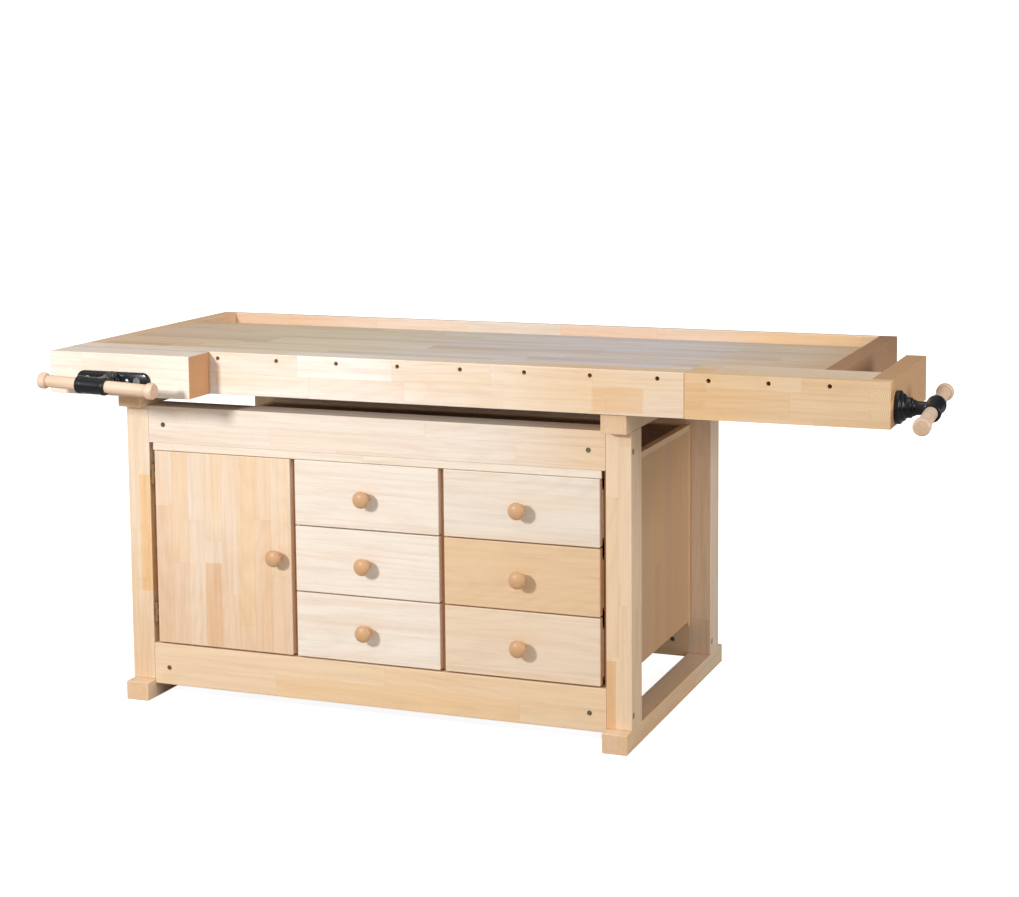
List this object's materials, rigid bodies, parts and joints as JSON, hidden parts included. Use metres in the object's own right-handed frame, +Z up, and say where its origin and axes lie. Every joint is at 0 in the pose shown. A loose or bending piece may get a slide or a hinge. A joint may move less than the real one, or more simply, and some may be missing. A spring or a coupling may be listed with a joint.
{
  "type": "woodworking bench",
  "caption": "Woodworking bench on a wooden trestle base with a front vise, a tail vise, a tool tray, a cupboard and a bank of drawers under the top.",
  "frame": {"origin": "on the floor, under the middle of the whole bench with its vises closed (the bottom centre of its bounding box)", "axes": "+X along the bench towards the tail vise, +Y from the working side to the tool tray at the back, +Z up"},
  "size_m": [2.074, 1.017, 0.866],
  "materials": {
    "frame_wood": "satin",
    "top_wood": "satin",
    "apron_wood": "satin",
    "front_wood": "satin",
    "panel_wood": "satin",
    "turned_wood": "gloss",
    "lining_wood": "matt",
    "black_iron": "satin",
    "bright_steel": "satin"
  },
  "bodies": {
    "bench": {"foot_left": "frame_wood", "foot_right": "frame_wood", "bearer_left": "frame_wood", "bearer_right": "frame_wood", "post_front_left": "frame_wood", "post_front_right": "frame_wood", "post_rear_left": "frame_wood", "post_rear_right": "frame_wood", "rail_front_top": "frame_wood", "rail_front_bottom": "frame_wood", "rail_rear_top": "frame_wood", "rail_rear_bottom": "frame_wood", "top_slab": "top_wood", "apron": "apron_wood", "end_cap_left": "apron_wood", "end_cap_right": "apron_wood", "tray_back": "apron_wood", "top_battens": "apron_wood", "side_panel_left": "panel_wood", "side_panel_right": "panel_wood", "cabinet_top": "panel_wood", "cabinet_bottom": "panel_wood", "cabinet_back": "panel_wood", "partitions": "panel_wood", "shelf": "panel_wood", "drawer_runners": "panel_wood", "tray_bottom": "panel_wood", "front_vise_nut": "black_iron", "tail_vise_nut": "black_iron", "rail_fittings": "bright_steel", "post_hinge_knuckles": "bright_steel"},
    "door_leaf": {"door": "front_wood", "door_knob": "turned_wood", "door_hinge_knuckles": "bright_steel"},
    "front_jaw_slide": {"front_jaw": "apron_wood", "front_jaw_lining": "lining_wood", "front_vise_plate": "black_iron", "front_guide_bars": "bright_steel"},
    "front_screw_turn": {"front_screw": "black_iron"},
    "front_handle_bar": {"front_handle": "turned_wood"},
    "tail_jaw_slide": {"tail_jaw_front": "apron_wood", "tail_jaw_block": "apron_wood", "tail_end_plate": "apron_wood", "tail_jaw_top": "top_wood", "tail_collar": "black_iron", "tail_guide_bars": "bright_steel"},
    "tail_screw_turn": {"tail_screw": "black_iron"},
    "tail_handle_bar": {"tail_handle": "turned_wood"},
    "drawer_left_1_box": {"drawer_left_1": "front_wood", "drawer_left_1_knob": "turned_wood"},
    "drawer_left_2_box": {"drawer_left_2": "front_wood", "drawer_left_2_knob": "turned_wood"},
    "drawer_left_3_box": {"drawer_left_3": "front_wood", "drawer_left_3_knob": "turned_wood"},
    "drawer_right_1_box": {"drawer_right_1": "front_wood", "drawer_right_1_knob": "turned_wood"},
    "drawer_right_2_box": {"drawer_right_2": "front_wood", "drawer_right_2_knob": "turned_wood"},
    "drawer_right_3_box": {"drawer_right_3": "front_wood", "drawer_right_3_knob": "turned_wood"}
  },
  "joints": [
    {"name": "door_hinge", "type": "hinge", "parent": "bench", "child": "door_leaf", "pos_m": [-0.852, -0.2485, 0.379], "axis": [0, 0, -1], "range_deg": [0, 110]},
    {"name": "drawer_left_1_slide", "type": "slide", "parent": "bench", "child": "drawer_left_1_box", "axis": [0, -1, 0], "range_m": [0, 0.4]},
    {"name": "drawer_left_2_slide", "type": "slide", "parent": "bench", "child": "drawer_left_2_box", "axis": [0, -1, 0], "range_m": [0, 0.4]},
    {"name": "drawer_left_3_slide", "type": "slide", "parent": "bench", "child": "drawer_left_3_box", "axis": [0, -1, 0], "range_m": [0, 0.4]},
    {"name": "drawer_right_1_slide", "type": "slide", "parent": "bench", "child": "drawer_right_1_box", "axis": [0, -1, 0], "range_m": [0, 0.4]},
    {"name": "drawer_right_2_slide", "type": "slide", "parent": "bench", "child": "drawer_right_2_box", "axis": [0, -1, 0], "range_m": [0, 0.4]},
    {"name": "drawer_right_3_slide", "type": "slide", "parent": "bench", "child": "drawer_right_3_box", "axis": [0, -1, 0], "range_m": [0, 0.4]},
    {"name": "front_jaw_travel", "type": "slide", "parent": "bench", "child": "front_jaw_slide", "axis": [0, -1, 0], "range_m": [0, 0.18]},
    {"name": "front_screw_spin", "type": "hinge", "parent": "front_jaw_slide", "child": "front_screw_turn", "pos_m": [-0.862, -0.4875, 0.804], "axis": [0, -1, 0], "range_deg": [0, 10800]},
    {"name": "front_handle_slip", "type": "slide", "parent": "front_screw_turn", "child": "front_handle_bar", "axis": [0.999, 0, -0.0436], "range_m": [-0.105, 0.081]},
    {"name": "tail_jaw_travel", "type": "slide", "parent": "bench", "child": "tail_jaw_slide", "axis": [1, 0, 0], "range_m": [0, 0.15]},
    {"name": "tail_screw_spin", "type": "hinge", "parent": "tail_jaw_slide", "child": "tail_screw_turn", "pos_m": [1.016, -0.2325, 0.804], "axis": [1, 0, 0], "range_deg": [0, 9000]},
    {"name": "tail_handle_slip", "type": "slide", "parent": "tail_screw_turn", "child": "tail_handle_bar", "axis": [0, 0.9945, 0.1045], "range_m": [-0.093, 0.093]}
  ],
  "couplings": [
    {"joint": "front_jaw_travel", "follows": "front_screw_spin", "m_per_rad": 0.00095493},
    {"joint": "tail_jaw_travel", "follows": "tail_screw_spin", "m_per_rad": 0.00095493}
  ]
}
